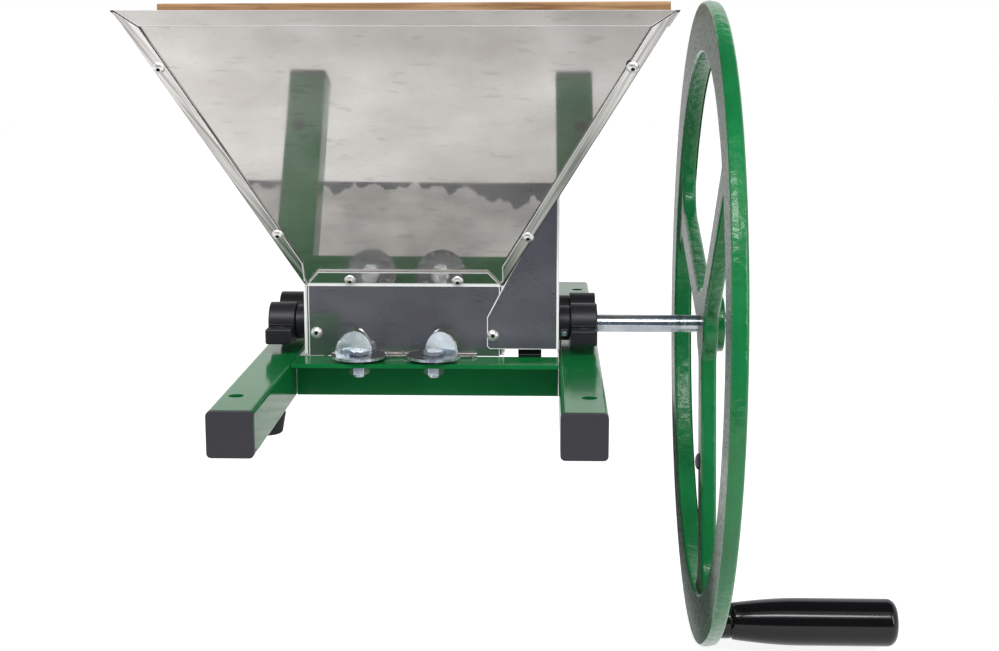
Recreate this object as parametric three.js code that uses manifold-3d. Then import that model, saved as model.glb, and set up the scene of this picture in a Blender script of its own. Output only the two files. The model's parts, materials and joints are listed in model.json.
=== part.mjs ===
// Hand cranked apple scratter: a stainless hopper over a two-roller mill on a welded tube frame,
// turned by a cast flywheel with a revolving grip. Millimetres, +Z up, the crank shaft lies along X.
// The origin is on the plane of the rubber feet's soles, midway between the rails, under the shaft.
import * as THREE from 'three';
import { mergeVertices } from 'three/addons/utils/BufferGeometryUtils.js';
import Module from 'manifold-3d';

const wasm = await Module();
wasm.setup();

// Clearances
const seat = 0.3;
const mitreGap = 0.6;

// Frame
const footHeight = 15;
const tubeSize = 30;
const tubeWall = 2;
const tubeCornerRadius = 3;
const railClearance = 191;
const railLength = 532;
const railOverhang = 177;
const capThickness = 4;
const capPlugLength = 12;
const capPlugWall = 2;
const screwHoleDiameter = 10;
const screwHoleFromEnd = 41;
const screwHoleOffset = 4;
const angleSize = 30;
const angleThickness = 3;
const angleWebHeight = 28.5;
const crossStandOff = 2;
const footTopDiameter = 29;
const footBottomDiameter = 24;
const footEdge = 1;
const footRecessDiameter = 11;
const footRecessDepth = 8;
const footFromRailEnd = 124;

// Milling box and hopper
const sheet = 1.5;
const boxFromLeftRail = 6.3;
const boxDepth = 178;
const boxHeight = 52.5;
const hopperTopCentreX = -10;
const hopperTopWidth = 353.8;
const hopperTopDepth = 438;
const hopperRise = 193.1;
const hemHeight = 10;
const flangeWidth = 9;
const tabHeight = 9.7;
const tabChamfer = 8.2;
const lipLength = 9;
const lipWidth = 106;
const lipChamfer = 3;
const cornerFlange = 12;
const wallStandOff = 0.7;
const wallSetBack = 0.5;
const panelSideGap = 1.8;
const guideLipRise = 3;
const guideLipOverShaft = 7.3;
const guideDrop = 1.5;

// Rollers, shafts and gears
const shaftDiameter = 13;
const rollerSpacing = 50;
const rollerNip = 3;
const rollerRibs = 10;
const ribHeight = 4;
const ribTipWidth = 3;
const ribRootWidth = 6;
const rollerEndGap = 3.2;
const rollerFrontGap = 4;
const guideGap = 2.5;
const gearTeeth = 25;
const toothAddendum = 2;
const toothTipGap = 0.7;
const toothTipShare = 0.207;
const toothRootShare = 0.589;
const gearFromBox = 10.6;
const gearWidth = 17;
const gearHubDiameter = 22;

// Gear cover
const coverWidth = 40.3;
const coverBottomRise = 5.5;
const coverLap = 11.8;
const coverLapRise = 28.8;
const coverShoulderRise = 3;
const coverChamfer = 2;

// Bearing bushes and lever caps
const bossDiameter = 25.6;
const leftBossLength = 8.8;
const rightBossLength = 8;
const sleeveDiameter = 20;
const sleeveReach = 9.5;
const innerFlangeDiameter = 26;
const innerFlangeThickness = 3;
const coverBushReach = 3;
const leverCapClearance = 4.9;
const leverCapRadius = 14.8;
const leverCapLength = 19.6;
const leverCapEdge = 1.2;
const leverCapSocket = 12;
const leverReach = 30;
const leverDrop = 0.7;
const leverHeight = 11.3;

// Wing clamps
const clampSpacing = 53.8;
const clampOffsetX = -4.2;
const clampDiscDiameter = 39;
const clampThickness = 2;
const clampFoldGap = 0.4;
const wingWidth = 29;
const wingHeight = 17.4;
const wingLean = 5;
const clampTurn = 33;
const boltDiameter = 8;
const boltHeadAcross = 13;
const boltHeadHeight = 3;
const boltTip = 2.2;
const nutHeight = 6.5;

// Flywheel
const wheelDiameter = 470;
const rimWidth = 37;
const rimThickness = 11;
const wheelFromCover = 101.5;
const rimEdge = 1.8;
const spiderSetBack = 3;
const spiderThickness = 11.5;
const spiderLap = 3;
const spiderEdge = 1.5;
const spokeWidth = 24;
const spokeCount = 3;
const spokeTurn = -102;
const hubDiameter = 54;
const rimFillet = 24;
const hubFillet = 12;
const hubBossDiameter = 41.4;
const hubBossLength = 5.5;
const washerDiameter = 18;
const washerThickness = 1.6;
const hubBoltHeadHeight = 4.4;
const plugFromCentre = 102;
const plugDiameter = 13;
const plugHeight = 3;

// Crank handle
const spindleDiameter = 10;
const spindleFromEdge = 16;
const spindleHeadDiameter = 12.4;
const spindleHeadLength = 3;
const spindleHeadDepth = 1.5;
const spindleEndWall = 6;
const collarDiameter = 25.6;
const collarLength = 14.6;
const gripLength = 120.8;
const gripNeckDiameter = 27;
const gripDiameter = 34.8;
const gripSwellAt = 0.42;
const gripEndRadius = 7;

// Loose beech board on the hopper's rim
const boardLength = 394;
const boardWidth = 120;
const boardThickness = 8;
const boardFromCentre = 12;
const boardCornerRadius = 2.5;

// Places that follow from the sizes
const railTop = footHeight + tubeSize;
const railSpacing = railClearance + tubeSize;
const rollerDiameter = rollerSpacing - rollerNip;
const rollerCoreDiameter = rollerDiameter - 2 * ribHeight;
const coverOuterX = railClearance / 2;
const boxLeft = boxFromLeftRail - railClearance / 2;
const boxRight = coverOuterX - coverWidth;
const boxWidth = boxRight - boxLeft;
const boxCentreX = (boxLeft + boxRight) / 2;
const boxFront = -(rollerDiameter / 2 + rollerFrontGap + sheet);
const boxRear = boxFront + boxDepth;
const boxCentreY = (boxFront + boxRear) / 2;
const railFrontY = boxFront - railOverhang;
const railRearY = railFrontY + railLength;
const shaftHeight = railTop + leverCapClearance + leverCapRadius;
const bendHeight = railTop + boxHeight;
const rimHeight = bendHeight + hopperRise;
const coverBottom = railTop + coverBottomRise;
const coverShoulder = bendHeight + coverShoulderRise;
const gearLeftX = boxRight + gearFromBox;
const gearTipDiameter = rollerSpacing + 2 * toothAddendum;
const gearRootDiameter = rollerSpacing - 2 * (toothAddendum + toothTipGap);
const toothPitch = Math.PI * rollerSpacing / gearTeeth;
const rimInnerX = coverOuterX + wheelFromCover;
const frontSlope = (hopperTopDepth - boxDepth) / 2 / hopperRise;
const frontSheet = sheet * Math.hypot(1, frontSlope);
const frontSkin = frontSheet + seat;
const wallOuter = boxWidth / 2 + wallStandOff;
const wallInner = wallOuter - sheet;
const rollerLeftX = boxCentreX - wallInner + rollerEndGap;
const rollerRightX = boxCentreX + wallInner - rollerEndGap;
const shaftRadius = shaftDiameter / 2;
const sleeveRadius = sleeveDiameter / 2;
const boreRadius = shaftRadius + seat;
const leftBossEnd = boxCentreX - wallOuter - seat - leftBossLength;
const rightBossEnd = coverOuterX + seat + rightBossLength;
const wheelRadius = wheelDiameter / 2;
const rimOuterX = rimInnerX + rimThickness;
const spiderInnerX = rimInnerX + spiderSetBack;
const spiderOuterX = spiderInnerX + spiderThickness;
const hubOuterX = spiderOuterX + hubBossLength;
const shaftYs = [['front', 0], ['rear', rollerSpacing]];
const sides = [['left', -1], ['right', 1]];
const ends = [['front', -1], ['rear', 1]];

// Materials
function material(name, color, roughness, metalness) {
  return new THREE.MeshStandardMaterial({ name, color, roughness, metalness });
}
const greenPaint = material('green_paint', 0x286139, 0.25, 0);
const stainless = material('stainless_sheet', 0xbdb9b6, 0.25, 1);
const zinc = material('zinc_plate', 0xd6d9db, 0.3, 1);
const nylon = material('black_nylon', 0x2e2f34, 0.45, 0);
const capPlastic = material('cap_plastic', 0x424147, 0.7, 0);
const rubber = material('rubber', 0x2a2a2c, 0.85, 0);
const gripPlastic = material('grip_plastic', 0x1f1c1c, 0.15, 0);
const rollerMetal = material('cast_aluminium', 0xa9abae, 0.45, 1);
const beech = material('beech', 0xae8963, 0.6, 0);

// Booleans
function solidOf(geometry) {
  const bare = geometry.clone();
  bare.deleteAttribute('normal');
  bare.deleteAttribute('uv');
  const merged = mergeVertices(bare, 1e-4);
  const vertProperties = new Float32Array(merged.attributes.position.array);
  const triVerts = new Uint32Array(merged.index.array);
  return new wasm.Manifold(new wasm.Mesh({ numProp: 3, vertProperties, triVerts }));
}
function geometryOf(manifold) {
  const { vertProperties, triVerts } = manifold.getMesh();
  const geometry = new THREE.BufferGeometry();
  geometry.setAttribute('position', new THREE.BufferAttribute(new Float32Array(vertProperties), 3));
  geometry.setIndex(new THREE.BufferAttribute(new Uint32Array(triVerts), 1));
  geometry.computeVertexNormals();
  return geometry;
}
function join(first, ...others) {
  return geometryOf(others.reduce((whole, next) => whole.add(solidOf(next)), solidOf(first)));
}
function cut(body, ...tools) {
  return geometryOf(tools.reduce((rest, tool) => rest.subtract(solidOf(tool)), solidOf(body)));
}

// Outlines
function outline(points) {
  return new THREE.Shape(points.map(([a, b]) => new THREE.Vector2(a, b)));
}
function radians(degrees) {
  return THREE.MathUtils.degToRad(degrees);
}
function polar(radius, angle) {
  return [radius * Math.cos(angle), radius * Math.sin(angle)];
}
function roundedRectangle(width, height, radius) {
  const shape = new THREE.Shape();
  const a = width / 2 - radius;
  const b = height / 2 - radius;
  shape.absarc(a, b, radius, 0, Math.PI / 2);
  shape.absarc(-a, b, radius, Math.PI / 2, Math.PI);
  shape.absarc(-a, -b, radius, Math.PI, Math.PI * 1.5);
  shape.absarc(a, -b, radius, Math.PI * 1.5, Math.PI * 2);
  shape.closePath();
  return shape;
}
function hexagon(across) {
  const corner = across / 2 / Math.cos(Math.PI / 6);
  return outline([0, 1, 2, 3, 4, 5].map((side) => polar(corner, side * Math.PI / 3)));
}

// Extrusions of an outline drawn in (y, z), in (x, z) and in (x, y)
function alongX(shape, from, to, options = {}) {
  const geometry = new THREE.ExtrudeGeometry(shape, {
    depth: to - from, bevelEnabled: false, curveSegments: 2, ...options,
  });
  return geometry.applyMatrix4(new THREE.Matrix4().set(0, 0, 1, from, 1, 0, 0, 0, 0, 1, 0, 0, 0, 0, 0, 1));
}
function alongY(shape, from, to, curveSegments = 2) {
  const options = { depth: to - from, bevelEnabled: false, curveSegments };
  const geometry = new THREE.ExtrudeGeometry(shape, options);
  return geometry.applyMatrix4(new THREE.Matrix4().set(1, 0, 0, 0, 0, 0, -1, to, 0, 1, 0, 0, 0, 0, 0, 1));
}
function alongZ(shape, from, to) {
  const options = { depth: to - from, bevelEnabled: false, curveSegments: 6 };
  return new THREE.ExtrudeGeometry(shape, options).translate(0, 0, from);
}
function block(x0, x1, y0, y1, z0, z1) {
  const geometry = new THREE.BoxGeometry(x1 - x0, y1 - y0, z1 - z0);
  return geometry.translate((x0 + x1) / 2, (y0 + y1) / 2, (z0 + z1) / 2);
}
function rodX(radius, from, to, y = 0, z = 0) {
  const geometry = new THREE.CylinderGeometry(radius, radius, to - from, 20);
  return geometry.rotateZ(-Math.PI / 2).translate((from + to) / 2, y, z);
}
function rodZ(radius, from, to, x = 0, y = 0) {
  const geometry = new THREE.CylinderGeometry(radius, radius, to - from, 16);
  return geometry.rotateX(Math.PI / 2).translate(x, y, (from + to) / 2);
}
function turnedOnX(profile, sides) {
  const points = profile.map(([x, radius]) => new THREE.Vector2(radius, x));
  return new THREE.LatheGeometry(points, sides).rotateZ(-Math.PI / 2);
}
function bevel(size) {
  return {
    bevelEnabled: true, bevelThickness: size, bevelSize: size, bevelOffset: -size, bevelSegments: 1,
  };
}

// How far a side of the hopper leans for each millimetre of height, and its sheet measured level
function sideSlope(side) {
  const offset = side * (hopperTopCentreX - boxCentreX);
  return (offset + (hopperTopWidth - boxWidth) / 2) / hopperRise;
}
function sideSheet(side) {
  return sheet * Math.hypot(1, sideSlope(side));
}
function sideSkin(side) {
  return sideSheet(side) + seat;
}

// Level places of the hopper's outer faces at a height
function sideAt(side, z) {
  return boxCentreX + side * (boxWidth / 2 + sideSlope(side) * (z - bendHeight));
}
function endAt(end, z) {
  return boxCentreY + end * (boxDepth / 2 + frontSlope * (z - bendHeight));
}

// Sheets that lean with the hopper; the inset is level, inwards from the outer face
function leaningEnd(end, points, inset, thickness) {
  const near = end < 0 ? boxFront + inset : boxRear - inset - thickness;
  const lean = end * frontSlope;
  const geometry = alongY(outline(points), near, near + thickness);
  return geometry.applyMatrix4(new THREE.Matrix4().set(
    1, 0, 0, 0, 0, 1, lean, -lean * bendHeight, 0, 0, 1, 0, 0, 0, 0, 1));
}
function leaningSide(side, points, inset, thickness) {
  const near = side < 0 ? boxLeft + inset : boxRight - inset - thickness;
  const lean = side * sideSlope(side);
  const geometry = alongX(outline(points), near, near + thickness);
  return geometry.applyMatrix4(new THREE.Matrix4().set(
    1, 0, lean, -lean * bendHeight, 0, 1, 0, 0, 0, 0, 1, 0, 0, 0, 0, 1));
}

const scratter = new THREE.Group();
function group() {
  const part = new THREE.Group();
  scratter.add(part);
  return part;
}
function place(parent, name, geometry, look, x = 0, y = 0, z = 0) {
  const mesh = new THREE.Mesh(geometry, look);
  mesh.name = name;
  mesh.position.set(x, y, z);
  parent.add(mesh);
  return mesh;
}

// Rails, end caps and feet
function rail(side) {
  const section = roundedRectangle(tubeSize, tubeSize, tubeCornerRadius);
  const inside = tubeSize - 2 * tubeWall;
  section.holes.push(roundedRectangle(inside, inside, tubeCornerRadius - tubeWall));
  const holes = [railFrontY + screwHoleFromEnd, railRearY - screwHoleFromEnd].map((y) =>
    rodZ(screwHoleDiameter / 2, -tubeSize, tubeSize, side * screwHoleOffset, y));
  return cut(alongY(section, railFrontY, railRearY), ...holes);
}
function endCap() {
  const plate = alongY(roundedRectangle(tubeSize, tubeSize, tubeCornerRadius), 0, capThickness);
  const half = tubeSize / 2 - tubeWall - seat;
  const hollow = half - capPlugWall;
  const plugEnd = capThickness + capPlugLength;
  const plug = block(-half, half, capThickness / 2, plugEnd, -half, half);
  return cut(join(plate, plug), block(-hollow, hollow, capThickness, plugEnd + 1, -hollow, hollow));
}
function rubberFoot() {
  const profile = [
    [0, footRecessDepth], [footRecessDiameter / 2, footRecessDepth], [footRecessDiameter / 2, 0],
    [footBottomDiameter / 2 - footEdge, 0], [footBottomDiameter / 2, footEdge],
    [footTopDiameter / 2, footHeight - seat], [0, footHeight - seat],
  ].map(([radius, z]) => new THREE.Vector2(radius, z));
  return new THREE.LatheGeometry(profile, 20).rotateX(Math.PI / 2);
}
const frame = group();
for (const [sideName, side] of sides) {
  const x = side * railSpacing / 2;
  const z = railTop - tubeSize / 2;
  place(frame, `rail_${sideName}`, rail(side), greenPaint, x, 0, z);
  for (const [endName, end] of ends) {
    const railEnd = end < 0 ? railFrontY : railRearY;
    const capY = railEnd + end * (seat + capThickness);
    const cap = place(frame, `end_cap_${endName}_${sideName}`, endCap(), capPlastic, x, capY, z);
    cap.rotation.z = end < 0 ? 0 : Math.PI;
    const footY = railEnd - end * footFromRailEnd;
    place(frame, `rubber_foot_${endName}_${sideName}`, rubberFoot(), rubber, x, footY);
  }
}

// Cross-members: angles whose flange lies flush with the rail tops and points away from the mill
const crossLength = railSpacing - tubeSize - 2 * seat;
const webBack = boxDepth / 2 + crossStandOff;
const clampReach = webBack + angleSize / 2;
const clampXs = sides.map(([name, side]) => [
  name, side, boxCentreX + clampOffsetX + side * clampSpacing / 2,
]);
function crossMember(end) {
  const web = boxCentreY + end * webBack;
  const section = outline([
    [web, railTop], [web + end * angleSize, railTop], [web + end * angleSize, railTop - angleThickness],
    [web + end * angleThickness, railTop - angleThickness],
    [web + end * angleThickness, railTop - angleWebHeight], [web, railTop - angleWebHeight],
  ]);
  const holes = clampXs.map(([, , x]) => rodZ(
    boltDiameter / 2 + seat, railTop - 2 * angleThickness, railTop + 1, x, boxCentreY + end * clampReach));
  return cut(alongX(section, -crossLength / 2, crossLength / 2), ...holes);
}
for (const [endName, end] of ends) {
  place(frame, `cross_member_${endName}`, crossMember(end), greenPaint);
}

// Hopper: four leaning panels, each with a hem folded outside along the rim
const hopperLow = bendHeight + seat;
const hemBottom = rimHeight - hemHeight;
const foldBottom = rimHeight - sheet;
const mitreTop = rimHeight - mitreGap;
const mitreBottom = hemBottom - mitreGap;
function hopperEnd(end) {
  const band = (low, lowInset, high, highInset) => [
    [sideAt(-1, low) + lowInset(-1), low], [sideAt(1, low) - lowInset(1), low],
    [sideAt(1, high) - highInset(1), high], [sideAt(-1, high) + highInset(-1), high],
  ];
  const hemEnd = () => flangeWidth + mitreGap;
  const hemTop = () => mitreGap;
  const foldEnd = (side) => sideSkin(side) + mitreGap;
  const panel = leaningEnd(end, band(hopperLow, sideSkin, rimHeight, sideSkin), frontSkin, frontSheet);
  const hem = leaningEnd(end, band(hemBottom, hemEnd, rimHeight, hemTop), 0, frontSheet);
  const fold = leaningEnd(end, band(foldBottom, foldEnd, rimHeight, foldEnd), 0, frontSkin + sheet / 2);
  return join(panel, hem, fold);
}
function hopperFlange(side, end) {
  const straight = sideAt(side, bendHeight) - side * mitreGap;
  const narrowing = bendHeight + (flangeWidth - mitreGap) / sideSlope(side);
  return leaningEnd(end, [
    [sideAt(side, hopperLow), hopperLow], [straight, hopperLow], [straight, narrowing],
    [sideAt(side, mitreBottom) - side * flangeWidth, mitreBottom], [sideAt(side, mitreTop), mitreTop],
  ], 0, frontSheet);
}
function hopperSide(side) {
  const level = (z, inset) => [[endAt(-1, z) + inset, z], [endAt(1, z) - inset, z]];
  const [lowFront, lowRear] = level(hopperLow, 0);
  const [shoulderFront, shoulderRear] = level(mitreBottom, 0);
  const [innerFront, innerRear] = level(mitreBottom, frontSkin);
  const [topFront, topRear] = level(rimHeight, frontSkin);
  const skin = sideSkin(side);
  const panel = leaningSide(side, [
    lowFront, shoulderFront, innerFront, topFront, topRear, innerRear, shoulderRear, lowRear,
  ], 0, sideSheet(side));
  const [hemFront, hemRear] = level(hemBottom, flangeWidth);
  const hem = leaningSide(side, [hemFront, hemRear, topRear, topFront], -skin, sideSheet(side));
  const [foldFront, foldRear] = level(foldBottom, frontSkin);
  const fold = leaningSide(side, [foldFront, foldRear, topRear, topFront], -skin, skin + sheet / 2);
  return join(panel, hem, fold, hopperFlange(side, -1), hopperFlange(side, 1));
}
const hopper = group();
for (const [name, end] of ends) {
  place(hopper, `hopper_panel_${name}`, hopperEnd(end), stainless);
}
for (const [name, side] of sides) {
  place(hopper, `hopper_panel_${name}`, hopperSide(side), stainless);
}

// Milling box: end panels with a lip on the cross-member and a tab up the hopper, and side walls
const boxBottom = railTop + seat;
const tabRoot = bendHeight - sheet / 3;
function boxEnd(end) {
  const outer = boxCentreY + end * boxDepth / 2;
  const inner = outer - end * sheet;
  const half = wallInner - panelSideGap;
  const left = boxCentreX - half;
  const right = boxCentreX + half;
  const plate = block(left, right, Math.min(outer, inner), Math.max(outer, inner), boxBottom, bendHeight);
  const tabTop = bendHeight + tabHeight;
  const tab = leaningEnd(end, [
    [left, tabRoot], [right, tabRoot], [right, bendHeight],
    [right - tabChamfer, tabTop], [left + tabChamfer, tabTop], [left, bendHeight],
  ], 0, frontSheet);
  const lipEnd = outer + end * lipLength;
  const lipHalf = lipWidth / 2;
  const lip = alongZ(outline([
    [boxCentreX - lipHalf, inner], [boxCentreX + lipHalf, inner],
    [boxCentreX + lipHalf, lipEnd - end * lipChamfer], [boxCentreX + lipHalf - lipChamfer, lipEnd],
    [boxCentreX - lipHalf + lipChamfer, lipEnd], [boxCentreX - lipHalf, lipEnd - end * lipChamfer],
  ]), boxBottom, boxBottom + sheet);
  return join(plate, tab, lip);
}
function boxSide(side, holeRadius) {
  const outer = boxCentreX + side * wallOuter;
  const inner = boxCentreX + side * wallInner;
  const inward = inner - side * cornerFlange;
  const top = tabRoot - seat;
  const near = boxFront + wallSetBack;
  const far = boxRear - wallSetBack;
  const flangeNear = boxFront + sheet + seat;
  const flangeFar = boxRear - sheet - seat;
  const wall = block(Math.min(outer, inner), Math.max(outer, inner), near, far, boxBottom, top);
  const x0 = Math.min(outer, inward);
  const x1 = Math.max(outer, inward);
  const frontFlange = block(x0, x1, flangeNear, flangeNear + sheet, boxBottom, top);
  const rearFlange = block(x0, x1, flangeFar - sheet, flangeFar, boxBottom, top);
  const holes = shaftYs.map(([, y]) => rodX(holeRadius, x0 - 1, x1 + 1, y, shaftHeight));
  return cut(join(wall, frontFlange, rearFlange), ...holes);
}
function guidePlate() {
  const lipY = rollerSpacing + rollerDiameter / 2 + guideGap;
  const farY = boxRear - 2 * sheet - 2 * seat;
  const half = wallInner - seat;
  const guideLipBottom = railTop + guideLipRise;
  const guideLipTop = shaftHeight + guideLipOverShaft;
  const guideTop = bendHeight - guideDrop;
  const section = outline([
    [lipY, guideLipBottom], [lipY + sheet, guideLipBottom], [lipY + sheet, guideLipTop - sheet],
    [farY, guideTop - sheet], [farY, guideTop], [lipY, guideLipTop],
  ]);
  return alongX(section, boxCentreX - half, boxCentreX + half);
}
const box = group();
for (const [name, end] of ends) {
  place(box, `mill_panel_${name}`, boxEnd(end), stainless);
}
for (const [name, side] of sides) {
  place(box, `mill_wall_${name}`, boxSide(side, sleeveRadius + seat), stainless);
}
place(box, 'guide_plate', guidePlate(), stainless);

// Gear cover: one folded sheet under the hopper's right slope, lapped over both end panels
function gearCover() {
  const slopeGap = 0.5;
  const slopeX = (z) => sideAt(1, z) + slopeGap;
  const slopeZ = (x) => bendHeight + (x - slopeGap - sideAt(1, bendHeight)) / sideSlope(1);
  const inner = coverOuterX - sheet;
  const outerTop = slopeZ(inner);
  const coverLapX = boxRight - coverLap;
  const cheek = outline([
    [coverLapX, coverBottom + coverChamfer], [coverLapX + coverChamfer, coverBottom],
    [coverOuterX, coverBottom], [coverOuterX, outerTop], [inner, outerTop],
    [slopeX(coverShoulder), coverShoulder], [coverLapX, railTop + coverLapRise],
  ]);
  const near = boxFront - seat - sheet;
  const far = boxRear + seat + sheet;
  const wall = block(inner, coverOuterX, near, far, coverBottom, outerTop);
  const shell = join(wall, alongY(cheek, near, near + sheet), alongY(cheek, far - sheet, far));
  const holes = shaftYs.map(([, y]) =>
    rodX(sleeveRadius + seat, inner - 1, coverOuterX + 1, y, shaftHeight));
  return cut(shell, ...holes);
}
place(box, 'gear_cover', gearCover(), stainless);

// Bearing bushes: a boss outside the sheet and a sleeve through it, profiles given as [x, radius]
function bush(points) {
  return turnedOnX([...points, points[0]].reverse(), 24);
}
function leftBush() {
  const bossStart = boxCentreX - wallOuter - seat;
  return bush([
    [leftBossEnd - sleeveReach, boreRadius], [rollerLeftX - seat, boreRadius],
    [rollerLeftX - seat, sleeveRadius], [bossStart, sleeveRadius],
    [bossStart, bossDiameter / 2], [leftBossEnd, bossDiameter / 2],
    [leftBossEnd, sleeveRadius], [leftBossEnd - sleeveReach, sleeveRadius],
  ]);
}
const innerFlangeStart = boxCentreX + wallOuter + seat;
const innerFlangeEnd = innerFlangeStart + innerFlangeThickness;
function innerBush() {
  return bush([
    [rollerRightX + seat, boreRadius], [innerFlangeEnd, boreRadius],
    [innerFlangeEnd, innerFlangeDiameter / 2], [innerFlangeStart, innerFlangeDiameter / 2],
    [innerFlangeStart, sleeveRadius], [rollerRightX + seat, sleeveRadius],
  ]);
}
const coverBushStart = coverOuterX - sheet - coverBushReach;
function coverBush() {
  const bossStart = coverOuterX + seat;
  return bush([
    [coverBushStart, boreRadius], [rightBossEnd + sleeveReach, boreRadius],
    [rightBossEnd + sleeveReach, sleeveRadius], [rightBossEnd, sleeveRadius],
    [rightBossEnd, bossDiameter / 2], [bossStart, bossDiameter / 2], [bossStart, sleeveRadius],
    [coverBushStart, sleeveRadius],
  ]);
}

// Lever caps: a round cap with a socket for the sleeve and a lever on one side of it, bored through
// where the shaft comes out
function leverCap(way, through) {
  const rounded = leverCapRadius - leverCapEdge;
  const round = turnedOnX([
    [0, 0], [0, rounded], [leverCapEdge, leverCapRadius],
    [leverCapLength - leverCapEdge, leverCapRadius], [leverCapLength, rounded], [leverCapLength, 0],
  ], 40);
  const leverTop = -leverDrop;
  const leverBottom = leverTop - leverHeight;
  const lever = alongX(outline([
    [0, leverBottom], [way * (leverReach - leverCapEdge), leverBottom],
    [way * leverReach, leverBottom + leverCapEdge], [way * leverReach, leverTop - leverCapEdge],
    [way * (leverReach - leverCapEdge), leverTop], [0, leverTop],
  ]), leverCapEdge, leverCapLength - leverCapEdge, bevel(leverCapEdge));
  const body = join(round, lever);
  const socket = rodX(sleeveRadius + seat, -1, leverCapSocket);
  return through ? cut(body, socket, rodX(boreRadius, 0, leverCapLength + 1)) : cut(body, socket);
}
const bearings = group();
for (const [name, y] of shaftYs) {
  place(bearings, `bearing_bush_${name}_left`, leftBush(), nylon, 0, y, shaftHeight);
  place(bearings, `bearing_bush_${name}_inner`, innerBush(), nylon, 0, y, shaftHeight);
  place(bearings, `bearing_bush_${name}_right`, coverBush(), nylon, 0, y, shaftHeight);
  const leftX = leftBossEnd - seat;
  const rightX = rightBossEnd + seat;
  const bored = name === 'front';
  const way = name === 'front' ? -1 : 1;
  const left = place(bearings, `lever_cap_${name}_left`, leverCap(-way, false), nylon, leftX, y, shaftHeight);
  left.rotation.z = Math.PI;
  place(bearings, `lever_cap_${name}_right`, leverCap(way, bored), nylon, rightX, y, shaftHeight);
}

// Rollers, shafts and gears
function roller() {
  const points = [];
  for (let rib = 0; rib < rollerRibs; rib += 1) {
    const middle = (rib + 0.5) / rollerRibs * 2 * Math.PI;
    const root = ribRootWidth / rollerCoreDiameter;
    const tip = ribTipWidth / rollerDiameter;
    points.push(polar(rollerCoreDiameter / 2, middle - root), polar(rollerDiameter / 2, middle - tip));
    points.push(polar(rollerDiameter / 2, middle + tip), polar(rollerCoreDiameter / 2, middle + root));
  }
  const body = alongX(outline(points), rollerLeftX, rollerRightX);
  return cut(body, rodX(boreRadius, rollerLeftX - 1, rollerRightX + 1));
}
function gear() {
  const points = [];
  for (let tooth = 0; tooth < gearTeeth; tooth += 1) {
    const middle = tooth / gearTeeth * 2 * Math.PI;
    const root = toothRootShare * toothPitch / gearRootDiameter;
    const tip = toothTipShare * toothPitch / gearTipDiameter;
    points.push(polar(gearRootDiameter / 2, middle - root), polar(gearTipDiameter / 2, middle - tip));
    points.push(polar(gearTipDiameter / 2, middle + tip), polar(gearRootDiameter / 2, middle + root));
  }
  const hubStart = innerFlangeEnd + seat;
  const hubEnd = coverBushStart - seat;
  const hub = rodX(gearHubDiameter / 2, hubStart, hubEnd);
  const toothed = alongX(outline(points), gearLeftX, gearLeftX + gearWidth);
  return cut(join(toothed, hub), rodX(boreRadius, hubStart - 1, hubEnd + 1));
}
const drive = group();
const shaftLeftX = leftBossEnd - sleeveReach + seat;
const shaftRightXs = { front: hubOuterX, rear: rightBossEnd + sleeveReach - seat };
for (const [name, y] of shaftYs) {
  const shaftName = name === 'front' ? 'crank_shaft' : 'rear_shaft';
  place(drive, shaftName, rodX(shaftRadius, shaftLeftX, shaftRightXs[name]), zinc, 0, y, shaftHeight);
  place(drive, `roller_${name}`, roller(), rollerMetal, 0, y, shaftHeight);
  place(drive, `gear_${name}`, gear(), nylon, 0, y, shaftHeight);
}

// Wing clamps: a disc on the bolt, one side of it folded up as a thumb wing
const boltHeadRadius = boltHeadAcross / 2 / Math.cos(Math.PI / 6);
const foldOffset = boltHeadRadius + clampFoldGap;
function clampPlate() {
  const radius = clampDiscDiameter / 2;
  const foldAngle = Math.acos(foldOffset / radius);
  const disc = new THREE.Shape();
  disc.absarc(0, 0, radius, Math.PI / 2 + foldAngle, Math.PI / 2 - foldAngle + 2 * Math.PI);
  disc.closePath();
  const foldHalf = wingWidth / 2;
  const foot = block(-foldHalf, foldHalf, foldOffset / 2, foldOffset + clampThickness, 0, clampThickness);
  const wing = new THREE.Shape();
  wing.moveTo(-foldHalf, 0);
  wing.absellipse(0, 0, foldHalf, wingHeight, Math.PI, 0, true);
  wing.closePath();
  const blade = alongY(wing, 0, clampThickness, 14).rotateX(-radians(wingLean)).translate(0, foldOffset, 0);
  const bore = rodZ(boltDiameter / 2 + seat, -1, clampThickness + 1);
  return cut(join(alongZ(disc, 0, clampThickness), foot, blade), bore);
}
const clampZ = boxBottom + sheet + seat;
const boltHeadZ = clampZ + clampThickness + seat;
const nutTop = railTop - angleThickness - seat;
function clampBolt() {
  const head = alongZ(hexagon(boltHeadAcross), boltHeadZ, boltHeadZ + boltHeadHeight);
  return join(head, rodZ(boltDiameter / 2, nutTop - nutHeight - boltTip, boltHeadZ + 1));
}
function clampNut() {
  const body = alongZ(hexagon(boltHeadAcross), nutTop - nutHeight, nutTop);
  return cut(body, rodZ(boltDiameter / 2 + seat, nutTop - nutHeight - 1, nutTop + 1));
}
const clamps = group();
for (const [endName, end] of ends) {
  for (const [sideName, side, x] of clampXs) {
    const y = boxCentreY + end * clampReach;
    const wing = place(clamps, `wing_clamp_${endName}_${sideName}`, clampPlate(), zinc, x, y, clampZ);
    wing.rotation.z = (end < 0 ? 0 : Math.PI) + end * side * radians(clampTurn);
    place(clamps, `clamp_bolt_${endName}_${sideName}`, clampBolt(), zinc, x, y);
    place(clamps, `clamp_nut_${endName}_${sideName}`, clampNut(), zinc, x, y);
  }
}

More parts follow.
